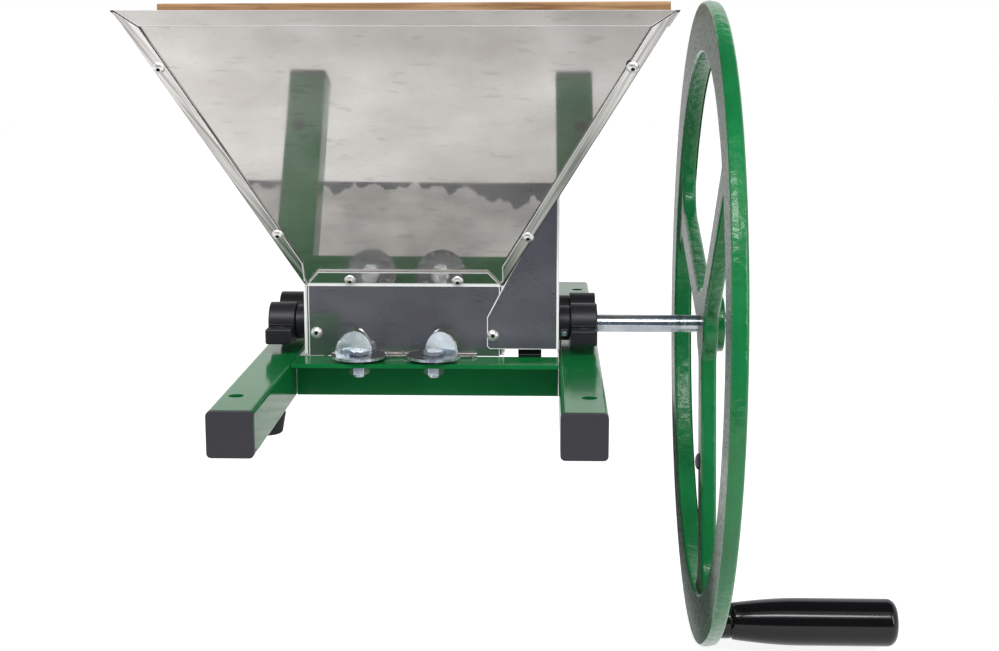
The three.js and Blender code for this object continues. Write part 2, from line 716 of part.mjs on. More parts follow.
// Flywheel: a rim ring and a three-spoked spider, the spider set back towards the handle
function opening(turn) {
  const inner = wheelRadius - rimWidth;
  const hub = hubDiameter / 2;
  const half = spokeWidth / 2;
  const next = turn + 2 * Math.PI / spokeCount;
  const rimArm = inner - rimFillet;
  const hubArm = hub + hubFillet;
  const rimSwing = Math.asin((half + rimFillet) / rimArm);
  const hubSwing = Math.asin((half + hubFillet) / hubArm);
  const quarter = Math.PI / 2;
  const hole = new THREE.Path();
  hole.absarc(...polar(rimArm, turn + rimSwing), rimFillet, turn - quarter, turn + rimSwing);
  hole.absarc(0, 0, inner, turn + rimSwing, next - rimSwing);
  hole.absarc(...polar(rimArm, next - rimSwing), rimFillet, next - rimSwing, next + quarter);
  hole.absarc(...polar(hubArm, next - hubSwing), hubFillet, next + quarter, next - hubSwing + Math.PI);
  hole.absarc(0, 0, hub, next - hubSwing, turn + hubSwing, true);
  hole.absarc(...polar(hubArm, turn + hubSwing), hubFillet, turn + hubSwing + Math.PI, turn + 3 * quarter);
  hole.closePath();
  return hole;
}
const spindleAngle = radians(spokeTurn);
const [spindleY, spindleZ] = polar(wheelRadius - spindleFromEdge, spindleAngle);
function flywheel() {
  const innerRadius = wheelRadius - rimWidth;
  const rim = turnedOnX([
    [rimInnerX, innerRadius + rimEdge], [rimInnerX, wheelRadius - rimEdge],
    [rimInnerX + rimEdge, wheelRadius], [rimOuterX - rimEdge, wheelRadius],
    [rimOuterX, wheelRadius - rimEdge], [rimOuterX, innerRadius + rimEdge],
    [rimOuterX - rimEdge, innerRadius], [rimInnerX + rimEdge, innerRadius],
    [rimInnerX, innerRadius + rimEdge],
  ], 96);
  const disc = new THREE.Shape();
  const sector = 2 * Math.PI / spokeCount;
  const discRadius = innerRadius + spiderLap + spiderEdge;
  for (let spoke = 0; spoke < spokeCount; spoke += 1) {
    const turn = radians(spokeTurn) + spoke * sector;
    disc.absarc(0, 0, discRadius, turn, turn + sector / 2);
    disc.absarc(0, 0, discRadius, turn + sector / 2, turn + sector);
    disc.holes.push(opening(turn));
  }
  disc.closePath();
  const spider = alongX(disc, spiderInnerX + spiderEdge, spiderOuterX - spiderEdge, {
    ...bevel(spiderEdge), curveSegments: 9,
  });
  const boss = rodX(hubBossDiameter / 2, spiderOuterX - 1, hubOuterX);
  const headRadius = spindleHeadDiameter / 2 + seat;
  const headEnd = rimInnerX + spindleHeadDepth + spindleHeadLength + seat;
  return cut(
    join(rim, spider, boss),
    rodX(boreRadius, spiderInnerX - 1, hubOuterX + 1),
    rodX(spindleDiameter / 2 + seat, rimInnerX - 1, rimOuterX + 1 + spiderSetBack, spindleY, spindleZ),
    rodX(headRadius, rimInnerX - 1, headEnd, spindleY, spindleZ),
  );
}
function hubBolt() {
  const start = hubOuterX + seat;
  const washer = rodX(washerDiameter / 2, start, start + washerThickness);
  const head = alongX(hexagon(boltHeadAcross), start + 1, start + washerThickness + hubBoltHeadHeight);
  return join(washer, head);
}
function spokePlug() {
  const radius = plugDiameter / 2;
  const end = spiderInnerX - seat;
  const profile = [[end - plugHeight, 0]];
  for (const step of [1, 2, 3]) {
    const angle = step / 3 * Math.PI / 2;
    profile.push([end - plugHeight * Math.cos(angle), radius * Math.sin(angle)]);
  }
  return turnedOnX([...profile, [end, 0]], 16);
}
const wheel = group();
wheel.position.z = shaftHeight;
place(wheel, 'flywheel', flywheel(), greenPaint);
place(wheel, 'hub_bolt', hubBolt(), zinc);
const [plugY, plugZ] = polar(plugFromCentre, spindleAngle);
place(wheel, 'spoke_plug', spokePlug(), nylon, 0, plugY, plugZ);

// Handle: a spindle through the rim, a collar and the revolving grip
const collarX = rimOuterX + seat;
const gripX = collarX + collarLength + seat;
const boreEndX = gripX + gripLength - spindleEndWall;
function spindle() {
  const headStart = rimInnerX + spindleHeadDepth;
  const head = rodX(spindleHeadDiameter / 2, headStart, headStart + spindleHeadLength);
  return join(head, rodX(spindleDiameter / 2, headStart + 1, boreEndX - seat));
}
function collar() {
  const body = rodX(collarDiameter / 2, collarX, collarX + collarLength);
  return cut(body, rodX(spindleDiameter / 2 + seat, collarX - 1, collarX + collarLength + 1));
}
function grip() {
  const bore = spindleDiameter / 2 + seat;
  const neck = gripNeckDiameter / 2;
  const body = gripDiameter / 2;
  const end = gripX + gripLength;
  const swell = (share) => neck + (body - neck) * Math.sin(share * Math.PI / 2);
  const profile = [[boreEndX, 0], [boreEndX, bore], [gripX, bore], [gripX, neck - 1], [gripX + 1, neck]];
  for (const share of [0.25, 0.5, 0.75, 1]) {
    profile.push([gripX + share * gripSwellAt * gripLength, swell(share)]);
  }
  for (const step of [0, 1, 2, 3]) {
    const angle = step / 3 * Math.PI / 2;
    const x = end - gripEndRadius + gripEndRadius * Math.sin(angle);
    profile.push([x, body - gripEndRadius + gripEndRadius * Math.cos(angle)]);
  }
  return turnedOnX([...profile, [end, 0]], 28);
}
place(wheel, 'handle_spindle', spindle(), zinc, 0, spindleY, spindleZ);
place(wheel, 'handle_collar', collar(), gripPlastic, 0, spindleY, spindleZ);
place(wheel, 'handle_grip', grip(), gripPlastic, 0, spindleY, spindleZ);

// Beech board lying loose across the rim
function board() {
  const slab = alongZ(roundedRectangle(boardLength, boardWidth, boardCornerRadius), 0, boardThickness);
  return slab.translate(boxCentreX, boxCentreY + boardFromCentre + boardWidth / 2, rimHeight + seat);
}
place(group(), 'wooden_board', board(), beech);

export default scratter;
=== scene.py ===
"""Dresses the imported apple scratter: finer meshes, small hardware, materials, light and camera.

Metres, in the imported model's frame: +Z up, the crank shaft along X, feet soles at Z = 0.
"""

import json
import math

import bmesh
import bpy
from mathutils import Matrix, Vector

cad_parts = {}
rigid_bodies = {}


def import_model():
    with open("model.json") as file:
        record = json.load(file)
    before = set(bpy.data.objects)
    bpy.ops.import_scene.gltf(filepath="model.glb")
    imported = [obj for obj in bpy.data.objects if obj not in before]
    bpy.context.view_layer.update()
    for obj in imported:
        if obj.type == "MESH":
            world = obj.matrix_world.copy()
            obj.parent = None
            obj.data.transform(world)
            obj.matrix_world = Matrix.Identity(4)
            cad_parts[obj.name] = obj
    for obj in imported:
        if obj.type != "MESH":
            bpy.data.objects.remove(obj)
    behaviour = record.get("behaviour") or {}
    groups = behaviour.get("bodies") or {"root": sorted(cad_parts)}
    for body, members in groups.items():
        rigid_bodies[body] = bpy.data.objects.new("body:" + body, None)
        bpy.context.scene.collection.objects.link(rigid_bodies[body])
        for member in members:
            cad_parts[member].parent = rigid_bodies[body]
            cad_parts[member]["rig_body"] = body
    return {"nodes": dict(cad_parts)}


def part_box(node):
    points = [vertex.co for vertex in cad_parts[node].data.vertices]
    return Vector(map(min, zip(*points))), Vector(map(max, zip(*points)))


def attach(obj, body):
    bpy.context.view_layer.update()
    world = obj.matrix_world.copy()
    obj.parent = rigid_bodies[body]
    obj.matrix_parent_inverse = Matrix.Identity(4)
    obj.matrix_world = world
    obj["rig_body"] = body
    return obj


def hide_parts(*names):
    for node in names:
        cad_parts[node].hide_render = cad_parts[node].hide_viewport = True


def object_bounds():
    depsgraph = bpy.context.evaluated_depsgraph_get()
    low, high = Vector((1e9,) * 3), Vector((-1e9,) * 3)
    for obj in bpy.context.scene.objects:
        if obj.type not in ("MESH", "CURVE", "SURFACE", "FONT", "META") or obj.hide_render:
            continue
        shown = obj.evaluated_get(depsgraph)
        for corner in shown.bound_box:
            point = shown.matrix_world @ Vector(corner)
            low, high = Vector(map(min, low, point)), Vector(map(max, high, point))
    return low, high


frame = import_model()
cad_low, cad_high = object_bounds()
scene = bpy.context.scene

MM = 0.001
SIDES = (("left", -1), ("right", 1))
ENDS = (("front", -1), ("rear", 1))

# Camera, solved from straight edges in the photograph: turns in degrees, the lens in millimetres
CAMERA_PLACE = (0.08647, -1.1832, 0.27567)
CAMERA_DOWN = 10.21
CAMERA_TURN = 1.69
FOCAL_LENGTH = 58.24
SENSOR_WIDTH = 36.0

# Meshes: angles in degrees
SAME_POINT = 0.005 * MM
SAME_LATHE_POINT = 0.001 * MM
FLAT_ANGLE = 1.5
SHARP_ANGLE = 40
PRISM_ANGLE = 60
SMOOTH_ANGLE = 35

# Sheet metal: rounded edges, folds, and the thin rims whose cut edges carry a painted highlight or
# painted shade
SHEET_EDGE = 0.6 * MM
HOPPER_EDGE = 0.7 * MM
COVER_EDGE = 0.8 * MM
FOLDED_ANGLE = 12
CUT_RIM = 0.5 * MM
CUT_WIDTH = 1.35 * MM
RIMMED_AREA = 1000 * MM**2
SHORTEST_SIDE = 1.5 * MM
BRIGHT_FROM = 50.0 * MM
LAP_DEPTH = 2.0 * MM
HOPPER_MIDDLE = -12.0 * MM
HEM_UNDERSIDE = (270.0 * MM, 283.0 * MM)

# Folds to round: lowest and highest angle, shortest and longest length, radius
PANEL_FOLDS = (20, 50, 60 * MM, 1, 1.0 * MM)
COVER_FOLDS = (80, 100, 100 * MM, 130 * MM, 2.8 * MM)
FOLD_STEPS = 4

# How far a face's normal points along an axis when it counts as looking that way
LOOKS_AWAY = 0.08
LOOKS_UP = 0.55
LOOKS_DOWN = 0.7
LOOKS_LENGTHWISE = 0.5
CLAMP_TOP = 0.9
CAST_SIDE = 0.97

# Box, hopper and board
BOX_FRONT_Y = -29.0 * MM
BOX_REAR_Y = 149.0 * MM
BEND_Z = 97.5 * MM
FRONT_SLOPE = 130.0 / 193.1
RAIL_TOP = 45.0 * MM
PANEL_DROP = 0.33 * MM
BELLY_MIDDLE = 54.0 * MM
BELLY_RADIUS = 5.0
BOARD_RISE = 1.6 * MM

# Shafts, lever caps and bush nuts
SHAFT_Y = {"front": 0.0, "rear": 50 * MM}
SHAFT_Z = 64.7 * MM
SHAFT_RADIUS = 6.5 * MM
SHAFT_EDGE = 0.8 * MM
SHAFT_STEPS = 64
CAP_RADIUS = 14.8 * MM
CAP_STEPS = 128
CAP_RING_STEPS = 48
CAP_EDGE = 1.0 * MM
LEVER_REACH = 30.0 * MM
LEVER_DROP = 0.7 * MM
LEVER_HEIGHT = 11.3 * MM
LEVER_EDGE = 1.4 * MM
LEVER_INSET = 0.15 * MM
BUSH_NUT_ACROSS = 5.4 * MM
BUSH_NUT_INSET = 13.8 * MM
BUSH_NUT_REACH = 13.4 * MM
BUSH_NUT_DROPS = (7.2 * MM, 3.8 * MM)
BUSH_NUT_EDGE = 0.3 * MM

# Flywheel
WHEEL_RADIUS = 235.0 * MM
WHEEL_RIM = 37.0 * MM
WHEEL_THICKNESS = 11 * MM
WHEEL_EDGE = 2.8 * MM
WHEEL_FACE_EDGE = 1.2 * MM
WHEEL_CROWN = 1.2 * MM
CROWN_EDGE = 1 * MM
CROWN_SHARE = 0.36
SPIDER_INSET = 3 * MM
SPIDER_LAP = 3.0 * MM
SPOKE_HALF = 12.0 * MM
SPOKE_TURNS = (-102.0, 18.0, 138.0)
RIM_FILLET = 24.0 * MM
HUB_FILLET = 12.0 * MM
HUB_RADIUS = 27.0 * MM
BOSS_RADIUS = 20.7 * MM
BOSS_PROUD = 5.5 * MM
BOSS_SUNK = 1 * MM
BOSS_EDGE = 1.5 * MM
BOSS_STEPS = 64
WHEEL_STEPS = 256
SPIDER_STEPS = 240

# Grip
GRIP_BORE = 5.3 * MM
GRIP_BORE_DEPTH = 20 * MM
GRIP_NECK = 13.5 * MM
GRIP_NECK_EDGE = 1 * MM
GRIP_SWELL = 17.4 * MM
GRIP_SWELL_SHARE = 0.42
GRIP_CROWN = 7 * MM
GRIP_CURVE_STEPS = 12
GRIP_STEPS = 96

# Screws: sizes, and their places as X and Z in millimetres
SCREW_RADIUS = 4.25 * MM
SCREW_HEIGHT = 2.6 * MM
SCREW_FOOT = 0.2 * MM
SCREW_ARC = math.radians(62)
SCREW_FLAT = 2.04 * MM
SCREW_STEPS = 48
SOCKET_RADIUS = 1.3175 * MM
SOCKET_REACH = 1.615 * MM
SOCKET_DEPTH = 1.5 * MM
SOCKET_LEVEL = 0.82
HOPPER_SCREWS = {"upper_left": (-164.5, 254.4), "lower_left": (-103.3, 136.7),
                 "upper_right": (140.8, 254.9), "lower_right": (73.1, 135.4)}
TAB_SCREWS = {"left": (-55.6, 101.0), "right": (22.2, 100.6)}
WALL_SCREWS = {"left": (-81.0, 61.6, 0.0), "right": (47.6, 60.5, 1.8)}

# Studio
# Glow of the dark cards: painted shade of the unlit room, seen only in reflections
DARK = (0.1, 0.115, 0.165)
AMBIENT = 0.6
FLOOR_GREY = 0.6
FLOOR_GLOW = 0.78
FLOOR_HALF = 6.0
FLOOR_DROP = 2 * MM
GROUND_DROP = 1 * MM
BENCH_EDGE = -0.1335
LIGHT_AIM = (0.03, 0.05, 0.08)


# Meshes
def narrow(mesh, polygon):
    """Whether a face is no wider than a sheet's cut edge."""
    corners = [mesh.vertices[index].co for index in polygon.vertices]
    around = sum((a - b).length for a, b in zip(corners, corners[1:] + corners[:1]))
    return 2 * polygon.area < CUT_WIDTH * around


def add_piece(name, mesh, body, material, replaced=(), smooth=SMOOTH_ANGLE, others=()):
    """Adds a piece; others are more materials, each with a test of the faces that take it."""
    piece = bpy.data.objects.new(name, mesh)
    scene.collection.objects.link(piece)
    mesh.materials.clear()
    mesh.materials.append(material)
    for polygon in mesh.polygons:
        polygon.material_index = 0
    for number, (other, chosen) in enumerate(others, 1):
        mesh.materials.append(other)
        for polygon in mesh.polygons:
            if chosen(mesh, polygon):
                polygon.material_index = number
    mesh.polygons.foreach_set("use_smooth", [True] * len(mesh.polygons))
    mesh.set_sharp_from_angle(angle=math.radians(smooth))
    even = piece.modifiers.new("even_shading", "WEIGHTED_NORMAL")
    even.keep_sharp = True
    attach(piece, body)
    if replaced:
        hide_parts(*replaced)
    return piece


def mesh_from(bm, name):
    mesh = bpy.data.meshes.new(name)
    bm.normal_update()
    bm.to_mesh(mesh)
    bm.free()
    return mesh


def bevel(bm, edges, width, segments):
    bmesh.ops.bevel(
        bm, geom=edges, offset=width, offset_type="OFFSET", segments=segments,
        profile=0.5, affect="EDGES", clamp_overlap=True,
    )


def round_edges(bm, width, segments, angle):
    """Rounds every edge sharper than the angle, in degrees."""
    sharp = [edge for edge in bm.edges if edge.calc_face_angle(0) > math.radians(angle)]
    if sharp:
        bevel(bm, sharp, width, segments)


def round_folds(bm, low, high, shortest, longest, radius):
    """Rounds the folds whose angle, in degrees, and length lie between two values."""
    folds = [edge for edge in bm.edges if shortest < edge.calc_length() < longest
             and math.radians(low) < edge.calc_face_angle(0) < math.radians(high)]
    bevel(bm, folds, radius, FOLD_STEPS)


def refined(node, width, segments, angle, folds, rim):
    """A CAD node's solid with whole flat faces and rounded edges; rim borders the wide faces."""
    bm = bmesh.new()
    bm.from_mesh(frame["nodes"][node].data)
    bmesh.ops.remove_doubles(bm, verts=bm.verts, dist=SAME_POINT)
    bmesh.ops.dissolve_limit(
        bm, angle_limit=math.radians(FLAT_ANGLE), verts=bm.verts, edges=bm.edges, delimit=set(),
    )
    if folds:
        round_folds(bm, *folds)
    round_edges(bm, width, segments, angle)
    if rim:
        wide = [face for face in bm.faces if face.calc_area() > RIMMED_AREA]
        bmesh.ops.inset_region(
            bm, faces=wide, thickness=rim, use_boundary=True, use_even_offset=False,
        )
        for face in wide:
            bmesh.ops.remove_doubles(bm, verts=face.verts, dist=SHORTEST_SIDE)
    return mesh_from(bm, node + "_fine")


def dress(node, material, width, segments=2, angle=SHARP_ANGLE, smooth=SMOOTH_ANGLE,
          folds=None, rim=None, others=()):
    """Puts a refined copy in a CAD node's place."""
    body = frame["nodes"][node]["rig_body"]
    mesh = refined(node, width, segments, angle, folds, rim)
    return add_piece(node + "_fine", mesh, body, material, (node,), smooth, others)


def highlighted_cut_edge(mesh, polygon):
    """Whether a face is a sheet's cut edge above the frame, which takes the painted highlight."""
    return narrow(mesh, polygon) and polygon.center.z > BRIGHT_FROM


def lengthwise(polygon):
    """Whether a face looks along the rails."""
    return abs(polygon.normal.y) > LOOKS_LENGTHWISE


def lap(mesh, polygon):
    """Whether a face is a side sheet's lap over the front or rear sheet."""
    return lengthwise(polygon) and not narrow(mesh, polygon)


def outer_rim(mesh, polygon):
    """Whether a face borders a lap on the side of its fold, next to the mesh's widest face."""
    widest = max(mesh.polygons, key=lambda face: face.area)
    inward = (widest.center - polygon.center).dot(widest.normal)
    return narrow(mesh, polygon) and lengthwise(polygon) and abs(inward) < LAP_DEPTH


def shaded(mesh, polygon):
    """Whether a narrow face of the hopper looks up, away from its middle or down from its hem."""
    normal = polygon.normal
    away = normal.x if polygon.center.x > HOPPER_MIDDLE else -normal.x
    low, high = HEM_UNDERSIDE
    under_hem = normal.z < -LOOKS_DOWN and low < polygon.center.z < high
    return narrow(mesh, polygon) and (away > LOOKS_AWAY or normal.z > LOOKS_UP or under_hem)


def dress_sheet(node, angle=SHARP_ANGLE, folds=None, edge=SHEET_EDGE, rim=None, others=()):
    others = ((CUT_EDGE_HIGHLIGHT, highlighted_cut_edge), *others)
    return dress(node, STEEL, edge, angle=angle, folds=folds, rim=rim,
                 others=others)


def lathe(name, profile, centre, steps):
    """Turns (x, radius) points about a line along X through centre = (y, z)."""
    bm = bmesh.new()
    rings = []
    for x, radius in profile:
        if not radius:
            rings.append([bm.verts.new((x, *centre))])
            continue
        ring = []
        for step in range(steps):
            y, z = polar(radius, 2 * math.pi * step / steps, centre)
            ring.append(bm.verts.new((x, y, z)))
        rings.append(ring)
    for first, second in zip(rings, rings[1:]):
        for step in range(steps):
            corners = []
            after = step + 1
            for ring, place in ((first, step), (first, after), (second, after), (second, step)):
                vert = ring[place % len(ring)]
                if vert not in corners:
                    corners.append(vert)
            bm.faces.new(corners)
    bmesh.ops.remove_doubles(bm, verts=bm.verts, dist=SAME_LATHE_POINT)
    bmesh.ops.recalc_face_normals(bm, faces=bm.faces)
    return mesh_from(bm, name)


def rounded(profile, radii, steps=4):
    """A polyline in (x, radius) whose inner corners are rounded by the given radii."""
    points = [Vector(point) for point in profile]
    path = [points[0]]
    for before, corner, after, radius in zip(points, points[1:], points[2:], radii):
        if not radius:
            path.append(corner)
            continue
        start = corner + (before - corner).normalized() * radius
        end = corner + (after - corner).normalized() * radius
        for step in range(steps + 1):
            share = step / steps
            left = 1 - share
            path.append(start * left**2 + corner * 2 * share * left + end * share**2)
    path.append(points[-1])
    return [tuple(point) for point in path]


def prism(name, points, start, end, width, segments=3, plane="yz"):
    """Extrudes an outline along the axis that its plane leaves out, with rounded rims."""
    bm = bmesh.new()
    layers = []
    for level in (start, end):
        corners = [(level, a, b) if plane == "yz" else (a, b, level) for a, b in points]
        layers.append([bm.verts.new(corner) for corner in corners])
    lower, upper = layers
    bm.faces.new(lower)
    bm.faces.new(upper)
    for index in range(len(points)):
        after = (index + 1) % len(points)
        bm.faces.new((lower[index], lower[after], upper[after], upper[index]))
    bmesh.ops.recalc_face_normals(bm, faces=bm.faces)
    round_edges(bm, width, segments, PRISM_ANGLE)
    return mesh_from(bm, name)


def polar(radius, angle, centre=(0.0, 0.0)):
    return centre[0] + radius * math.cos(angle), centre[1] + radius * math.sin(angle)


def circle(bm, radius, level, steps):
    """New vertices on a level circle about the origin."""
    turns = [2 * math.pi * step / steps for step in range(steps)]
    return [bm.verts.new((*polar(radius, turn), level)) for turn in turns]


def arc(centre, radius, start, end, steps):
    turns = [start + (end - start) * step / steps for step in range(steps + 1)]
    return [polar(radius, turn, centre) for turn in turns]


def rectangle(first, last, bottom, top):
    return [(first, bottom), (last, bottom), (last, top), (first, top)]


def hex_points(across):
    corner = across / 2 / math.cos(math.pi / 6)
    return [polar(corner, math.pi / 3 * side) for side in range(6)]


def joined(name, meshes):
    bm = bmesh.new()
    for mesh in meshes:
        bm.from_mesh(mesh)
        bpy.data.meshes.remove(mesh)
    return mesh_from(bm, name)


def x_span(node):
    low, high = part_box(node)
    return low.x, high.x


# Materials
def shader(name, colour, roughness, metallic=0.0, specular=0.5):
    made = bpy.data.materials.new(name)
    made.use_nodes = True
    tree = made.node_tree
    surface = tree.nodes["Principled BSDF"]
    surface.inputs["Base Color"].default_value = (*colour, 1)
    surface.inputs["Roughness"].default_value = roughness
    surface.inputs["Metallic"].default_value = metallic
    surface.inputs["Specular IOR Level"].default_value = specular
    return made, tree, surface


def linear(red, green, blue):
    """An sRGB colour given in 0 to 255, as linear light."""
    def channel(value):
        value /= 255
        return value / 12.92 if value < 0.04045 else ((value + 0.055) / 1.055) ** 2.4
    return channel(red), channel(green), channel(blue)


def coordinates(tree, scale=(1, 1, 1)):
    source = tree.nodes.new("ShaderNodeTexCoord")
    mapping = tree.nodes.new("ShaderNodeMapping")
    mapping.inputs["Scale"].default_value = scale
    tree.links.new(source.outputs["Object"], mapping.inputs["Vector"])
    return mapping.outputs["Vector"]


def axes(tree):
    """The place on the object as sockets named X, Y and Z."""
    place = tree.nodes.new("ShaderNodeSeparateXYZ")
    tree.links.new(coordinates(tree), place.inputs["Vector"])
    return place.outputs


def noise(tree, scale, detail=3.0, stretch=(1, 1, 1), distortion=0.0, vector=None):
    made = tree.nodes.new("ShaderNodeTexNoise")
    made.inputs["Scale"].default_value = scale
    made.inputs["Detail"].default_value = detail
    made.inputs["Distortion"].default_value = distortion
    tree.links.new(vector or coordinates(tree, stretch), made.inputs["Vector"])
    return made.outputs["Fac"]


def ramp(tree, value, stops):
    made = tree.nodes.new("ShaderNodeValToRGB")
    elements = made.color_ramp.elements
    while len(elements) < len(stops):
        elements.new(0.5)
    for element, (place, colour) in zip(elements, stops):
        element.position = place
        element.color = (*colour, 1)
    tree.links.new(value, made.inputs["Fac"])
    return made.outputs["Color"]


def grey_ramp(tree, value, stops):
    return ramp(tree, value, [(place, (level,) * 3) for place, level in stops])


def spread(tree, value, low, high, start=0.0, end=1.0):
    made = tree.nodes.new("ShaderNodeMapRange")
    made.inputs["From Min"].default_value = start
    made.inputs["From Max"].default_value = end
    made.inputs["To Min"].default_value = low
    made.inputs["To Max"].default_value = high
    tree.links.new(value, made.inputs["Value"])
    return made.outputs["Result"]


def bump(tree, surface, height, strength, distance):
    made = tree.nodes.new("ShaderNodeBump")
    made.inputs["Strength"].default_value = strength
    made.inputs["Distance"].default_value = distance
    tree.links.new(height, made.inputs["Height"])
    tree.links.new(made.outputs["Normal"], surface.inputs["Normal"])
    return made.outputs["Normal"]


def blend(tree, first, second, share):
    made = tree.nodes.new("ShaderNodeMix")
    made.data_type = "FLOAT"
    made.inputs["Factor"].default_value = share
    tree.links.new(first, made.inputs["A"])
    tree.links.new(second, made.inputs["B"])
    return made.outputs["Result"]


def multiplied(tree, first, second, share=1.0):
    made = tree.nodes.new("ShaderNodeMix")
    made.data_type = "RGBA"
    made.blend_type = "MULTIPLY"
    made.inputs["Factor"].default_value = share
    tree.links.new(first, made.inputs["A"])
    tree.links.new(second, made.inputs["B"])
    return made.outputs["Result"]


def arithmetic(tree, operation, first, second):
    """A Math node; the second operand is a socket or a number."""
    made = tree.nodes.new("ShaderNodeMath")
    made.operation = operation
    tree.links.new(first, made.inputs[0])
    if isinstance(second, float):
        made.inputs[1].default_value = second
    else:
        tree.links.new(second, made.inputs[1])
    return made.outputs[0]


def enamel(name, colour, roughness, specular, patches, darker, lighter, ripple, relief):
    """Paint in two near tones over a rippled ground; relief is a bump's strength and distance."""
    made, tree, surface = shader(name, colour, roughness, specular=specular)
    tone = ramp(tree, noise(tree, patches), [(0.3, darker), (0.7, lighter)])
    tree.links.new(tone, surface.inputs["Base Color"])
    bump(tree, surface, noise(tree, *ripple), *relief)
    return made


def worn(name, colour, roughness, wear, span, grain=None, relief=None, metallic=0.0, specular=0.5):
    """One colour whose roughness wanders; wear and grain are a noise's scale and detail."""
    made, tree, surface = shader(name, colour, roughness, metallic, specular)
    tree.links.new(spread(tree, noise(tree, *wear), *span), surface.inputs["Roughness"])
    if grain:
        bump(tree, surface, noise(tree, *grain), *relief)
    return made


def raw_cast():
    """The casting's rough inner face: pocked paint in paler, greyer tones, partly painted
    reflection, with a gloss painted strong at the top and fading towards the bottom.
    """
    made, tree, surface = shader("green_cast_face_look", linear(30, 84, 48), 0.34)
    speckle = noise(tree, 860, 2, stretch=(1, 1, 0.6))
    # Speckled tones, paler and greyer than the other green paint: partly the rough face's own
    # colour, partly painted reflection.
    tone = ramp(tree, speckle, [(0.4, linear(20, 42, 28)), (0.5, linear(50, 88, 62)),
                                (0.66, linear(82, 112, 88))])
    tree.links.new(tone, surface.inputs["Base Color"])
    # Painted reflection: the specular strength is painted to fade from the top of the wheel to its
    # bottom, standing in for darker surroundings mirrored low down.
    painted_height_gloss = spread(tree, axes(tree)["Z"], 0.05, 1.0, -170 * MM, 60 * MM)
    pocked = spread(tree, speckle, 0.05, 1.0, 0.42, 0.48)
    pocked_painted_gloss = arithmetic(tree, "MULTIPLY", painted_height_gloss, pocked)
    tree.links.new(pocked_painted_gloss, surface.inputs["Specular IOR Level"])
    bump(tree, surface, speckle, 0.6, 0.0005)
    return made


def belly(tree):
    """The height of a sheet that bulges a little, as the bowed mirror images show."""
    across = arithmetic(tree, "SUBTRACT", axes(tree)["X"], BELLY_MIDDLE)
    square = arithmetic(tree, "MULTIPLY", across, across)
    return arithmetic(tree, "MULTIPLY", square, -0.5 / BELLY_RADIUS)


def rubbed_tone_and_painted_shade(tree):
    """The sheet's colour: clouds, streaks, fine scratches, and painted shade that darkens it to
    the right and the top.
    """
    rubbed = blend(tree, noise(tree, 9, 5), noise(tree, 26, 4, stretch=(0.7, 0.1, 1.6)), 0.45)
    tone = ramp(tree, rubbed, [(0.36, linear(182, 177, 173)), (0.5, linear(199, 195, 191)),
                               (0.64, linear(213, 210, 207))])
    scratch = noise(tree, 240, 2, stretch=(0.2, 0, 1))
    marks = ramp(tree, scratch, [(0.3, (0.7, 0.69, 0.68)), (0.4, (1, 1, 1))])
    tone = multiplied(tree, tone, marks, 0.45)
    # Painted shade: the colour is darkened to the right and towards the top, standing in for
    # dimmer reflections there.
    place = axes(tree)
    sideways = spread(tree, place["X"], 0.0, 1.0, -170 * MM, 150 * MM)
    across = grey_ramp(tree, sideways, [(0.0, 1), (0.25, 0.88), (0.5, 0.82), (0.8, 0.81),
                                        (0.88, 0.7), (1.0, 0.84)])
    upward = spread(tree, place["Z"], 0.0, 1.0, 200 * MM, 290 * MM)
    rising = grey_ramp(tree, upward, [(0.0, 1), (0.5, 0.94), (1.0, 0.76)])
    return multiplied(tree, multiplied(tree, tone, across), rising)


def steel_sheet():
    """Polished sheet under a satin haze, rubbed in clouds and fine streaks, its colour darkened to
    the right and the top by painted shade.
    """
    made, tree, surface = shader("stainless_sheet_look", linear(186, 182, 178), 0.05, metallic=1)
    tone = rubbed_tone_and_painted_shade(tree)
    tree.links.new(tone, surface.inputs["Base Color"])
    smudge = noise(tree, 16, 4)
    tree.links.new(spread(tree, smudge, 0.03, 0.07, 0.35, 0.7), surface.inputs["Roughness"])
    haze = tree.nodes.new("ShaderNodeBsdfPrincipled")
    haze.inputs["Metallic"].default_value = 1
    haze.inputs["Roughness"].default_value = 0.5
    tree.links.new(tone, haze.inputs["Base Color"])
    tree.links.new(bump(tree, surface, belly(tree), 1.0, 1.0), haze.inputs["Normal"])
    both = tree.nodes.new("ShaderNodeMixShader")
    tree.links.new(spread(tree, smudge, 0.22, 0.36, 0.3, 0.7), both.inputs["Fac"])
    tree.links.new(surface.outputs["BSDF"], both.inputs[1])
    tree.links.new(haze.outputs["BSDF"], both.inputs[2])
    tree.links.new(both.outputs["Shader"], tree.nodes["Material Output"].inputs["Surface"])
    return made


def lap_look(name, turn):
    """Brushed lap of a side sheet, its streaks turned by an angle in degrees about Y."""
    made, tree, surface = shader(name, linear(186, 183, 180), 0.3, metallic=1)
    turned = tree.nodes.new("ShaderNodeMapping")
    turned.inputs["Rotation"].default_value = (0, math.radians(turn), 0)
    tree.links.new(coordinates(tree), turned.inputs["Vector"])
    squeezed = tree.nodes.new("ShaderNodeMapping")
    squeezed.inputs["Scale"].default_value = (1, 0, 0.03)
    tree.links.new(turned.outputs["Vector"], squeezed.inputs["Vector"])
    brushed = noise(tree, 420, vector=squeezed.outputs["Vector"])
    tone = ramp(tree, brushed, [(0.34, linear(140, 137, 135)), (0.5, linear(190, 187, 184)),
                                (0.64, linear(220, 218, 216))])
    tree.links.new(tone, surface.inputs["Base Color"])
    tree.links.new(spread(tree, brushed, 0.28, 0.45), surface.inputs["Roughness"])
    return made


